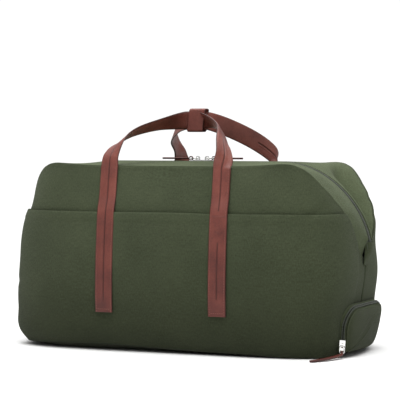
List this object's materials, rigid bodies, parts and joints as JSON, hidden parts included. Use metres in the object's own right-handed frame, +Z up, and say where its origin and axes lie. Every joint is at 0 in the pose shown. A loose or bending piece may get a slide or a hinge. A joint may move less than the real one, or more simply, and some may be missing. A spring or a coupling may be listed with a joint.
{
  "type": "duffel bag",
  "caption": "Soft canvas weekender duffel bag with two leather handles, a wrapped grip, a two-way top zip, a front slip pocket and a zipped end pocket.",
  "frame": {"origin": "middle of the base's rest face on the floor", "axes": "+X to the end with the zipped pocket, -Y to the front with the slip pocket, +Z up"},
  "size_m": [0.605, 0.3119, 0.3866],
  "materials": {
    "canvas": "dense waxed-look cotton canvas",
    "canvas_light": "dense waxed-look cotton canvas",
    "zip_tape": "woven tape",
    "zip_teeth": "satin nylon",
    "leather": "smooth, lightly burnished",
    "nickel": "polished nickel",
    "lining": "plain weave",
    "board": "matte"
  },
  "bodies": {
    "shell": {"front_panel": "canvas", "back_panel": "canvas", "front_gusset": "canvas_light", "rear_gusset": "canvas_light", "base_panel": "canvas", "base_board": "board", "lining": "lining", "slip_pocket": "canvas", "slip_pocket_hem": "canvas", "zip_tape_front": "zip_tape", "zip_tape_rear": "zip_tape", "zip_teeth_front": "zip_teeth", "zip_teeth_rear": "zip_teeth", "zip_stop_left": "canvas", "zip_stop_right": "canvas", "front_strap_left": "leather", "front_strap_right": "leather", "rear_strap_left": "leather", "rear_strap_right": "leather", "pocket_panel": "canvas", "pocket_boxing_inner": "canvas_light", "pocket_boxing_outer": "canvas_light", "pocket_teeth_inner": "zip_teeth", "pocket_teeth_outer": "zip_teeth"},
    "front_handle": {"front_handle": "leather", "front_grip": "leather"},
    "rear_handle": {"rear_handle": "leather", "rear_grip": "leather", "grip_stud": "nickel"},
    "top_slider_left": {"top_slider_left": "nickel"},
    "top_ring_left": {"top_ring_left": "nickel"},
    "top_pull_left": {"top_pull_left": "leather"},
    "top_slider_right": {"top_slider_right": "nickel"},
    "top_ring_right": {"top_ring_right": "nickel"},
    "top_pull_right": {"top_pull_right": "leather"},
    "pocket_slider": {"pocket_slider": "nickel"},
    "pocket_ring": {"pocket_ring": "nickel"},
    "pocket_pull": {"pocket_pull": "leather"}
  },
  "joints": [
    {"name": "front_handle_fold", "type": "hinge", "parent": "shell", "child": "front_handle", "pos_m": [0, -0.12999, 0.296], "axis": [1, 0, 0], "range_deg": [0, 150]},
    {"name": "rear_handle_fold", "type": "hinge", "parent": "shell", "child": "rear_handle", "pos_m": [0, 0.12999, 0.296], "axis": [-1, 0, 0], "range_deg": [0, 150]},
    {"name": "top_slider_left_slide", "type": "slide", "parent": "shell", "child": "top_slider_left", "axis": [-1, 0, 0], "range_m": [0, 0.13]},
    {"name": "top_ring_left_swing", "type": "hinge", "parent": "top_slider_left", "child": "top_ring_left", "pos_m": [-0.0002, 0, 0.3067], "axis": [0, 1, 0], "range_deg": [0, 60]},
    {"name": "top_pull_left_swing", "type": "hinge", "parent": "top_ring_left", "child": "top_pull_left", "pos_m": [-0.0124, 0, 0.3067], "axis": [0, 1, 0], "range_deg": [0, 70]},
    {"name": "top_slider_right_slide", "type": "slide", "parent": "shell", "child": "top_slider_right", "axis": [1, 0, 0], "range_m": [0, 0.125]},
    {"name": "top_ring_right_swing", "type": "hinge", "parent": "top_slider_right", "child": "top_ring_right", "pos_m": [0.0162, 0, 0.3067], "axis": [0, -1, 0], "range_deg": [0, 60]},
    {"name": "top_pull_right_swing", "type": "hinge", "parent": "top_ring_right", "child": "top_pull_right", "pos_m": [0.0284, 0, 0.3067], "axis": [0, -1, 0], "range_deg": [0, 70]},
    {"name": "pocket_slider_slide", "type": "slide", "parent": "shell", "child": "pocket_slider", "axis": [0.059, 0, 0.9983], "range_m": [0, 0.015]},
    {"name": "pocket_ring_swing", "type": "hinge", "parent": "pocket_slider", "child": "pocket_ring", "pos_m": [0.28365, -0.09092, 0.02], "axis": [-0.9562, -0.2868, 0.059], "range_deg": [0, 30]},
    {"name": "pocket_pull_swing", "type": "hinge", "parent": "pocket_ring", "child": "pocket_pull", "pos_m": [0.28297, -0.09112, 0.00782], "axis": [-0.9562, -0.2868, 0.059], "range_deg": [0, 30]}
  ]
}
